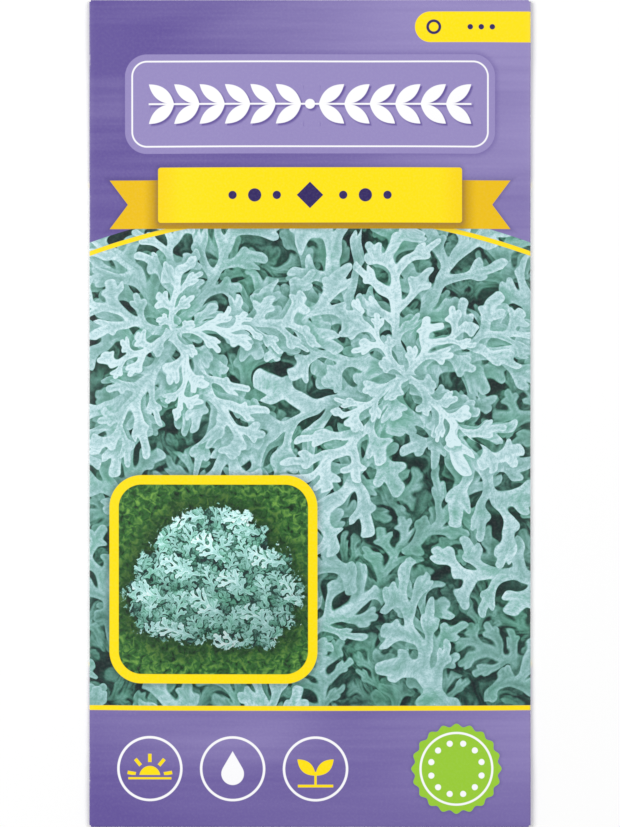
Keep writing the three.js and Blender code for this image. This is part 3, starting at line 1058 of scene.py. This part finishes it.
# The seeds are slender nutlets with ten ribs, narrow at one end and blunt at the other. They are loose, and
# have slid together into a low heap on the inside of the back panel.
SEED_LENGTH = 2.2 * MM
SEED_RADIUS = 0.29 * MM
SEED_RIBS = 10
SEED_OUTLINE = (  # from the narrow end to the blunt one: shares of the radius and of the length
    (0, -0.5), (0.34, -0.49), (0.66, -0.4), (0.94, -0.12),
    (1, 0.1), (0.78, 0.4), (0.5, 0.48), (0, 0.5),
)
RIB_DEPTH = 0.16
HEAP_LAYERS = ((84, 0, 0.68 * MM), (34, 0.42 * MM, 0.75 * MM))  # seeds, height, spread
HEAP_CENTRE = Vector((-2, -40)) * MM
HEAP_FLOOR = PAPER + 0.08 * MM
HEAP_STRETCH = 1.35
LAY_SCATTER = 0.04 * MM
HEAP_DRAW = 7
GOLDEN_ANGLE = math.pi * (3 - math.sqrt(5))


def draws(state):
    """The same run of numbers from 0 to 1 each time."""
    while True:
        state = (state * 1664525 + 1013904223) % 4294967296
        yield state / 4294967296


one_seed = bmesh.new()
outline = [one_seed.verts.new((-at * SEED_LENGTH, out * SEED_RADIUS, 0)) for out, at in SEED_OUTLINE]
outline_edges = [one_seed.edges.new(pair) for pair in zip(outline, outline[1:])]
bmesh.ops.spin(
    one_seed, geom=outline + outline_edges, cent=(0, 0, 0), axis=(1, 0, 0), dvec=(0, 0, 0),
    angle=math.tau, steps=2 * SEED_RIBS, use_merge=True, use_duplicate=False,
)
bmesh.ops.remove_doubles(one_seed, verts=one_seed.verts, dist=SAME_POINT)
for corner in one_seed.verts:
    step = round(math.atan2(corner.co.z, corner.co.y) / (math.pi / SEED_RIBS))
    if step % 2:
        corner.co.yz *= 1 - RIB_DEPTH
bmesh.ops.recalc_face_normals(one_seed, faces=one_seed.faces)
seed_mesh = bpy.data.meshes.new("seed")
one_seed.to_mesh(seed_mesh)
one_seed.free()

heap = bmesh.new()
draw = draws(HEAP_DRAW)
for count, height, spread in HEAP_LAYERS:
    for number in range(count):
        turn = Matrix.Rotation(next(draw) * math.pi, 4, "Z")
        radius, around = spread * math.sqrt(number + 0.5), number * GOLDEN_ANGLE
        place = Vector((
            HEAP_CENTRE.x + HEAP_STRETCH * radius * math.cos(around),
            HEAP_CENTRE.y + radius * math.sin(around),
            HEAP_FLOOR + SEED_RADIUS + height + LAY_SCATTER * next(draw),
        ))
        before = len(heap.verts)
        heap.from_mesh(seed_mesh)
        heap.verts.ensure_lookup_table()
        bmesh.ops.transform(heap, matrix=Matrix.Translation(place) @ turn, verts=heap.verts[before:])
heap_mesh = bpy.data.meshes.new("seed_heap")
for face in heap.faces:
    face.smooth = True
heap.to_mesh(heap_mesh)
heap.free()
bpy.data.meshes.remove(seed_mesh)
seeds = bpy.data.objects.new("seed_heap", heap_mesh)
bpy.context.scene.collection.objects.link(seeds)


def seed_husk(tree):
    place = Wire.made(tree, "TexCoord", {}, {}, out=3)
    mottle = place.node("TexNoise", {}, {"Vector": place, "Scale": 900.0, "Detail": 4.0})
    drift = place.node("TexNoise", {}, {"Vector": place, "Scale": 220.0, "Detail": 1.0})
    tone = (mottle + drift) * 0.5
    stops = [(0.34, ink(78, 54, 32)), (0.5, ink(124, 92, 56)), (0.68, ink(176, 140, 92))]
    colour = tone.node("ValToRGB", {"stops": stops}, {0: tone})
    bump = mottle.node("Bump", {}, {"Height": mottle, "Strength": 0.4, "Distance": 0.03 * MM})
    return place.node("BsdfPrincipled", {}, {"Base Color": colour, "Roughness": 0.8, "Normal": bump})


heap_mesh.materials.append(finish_of("seed husk", seed_husk))
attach(seeds, "root")
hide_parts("seeds")
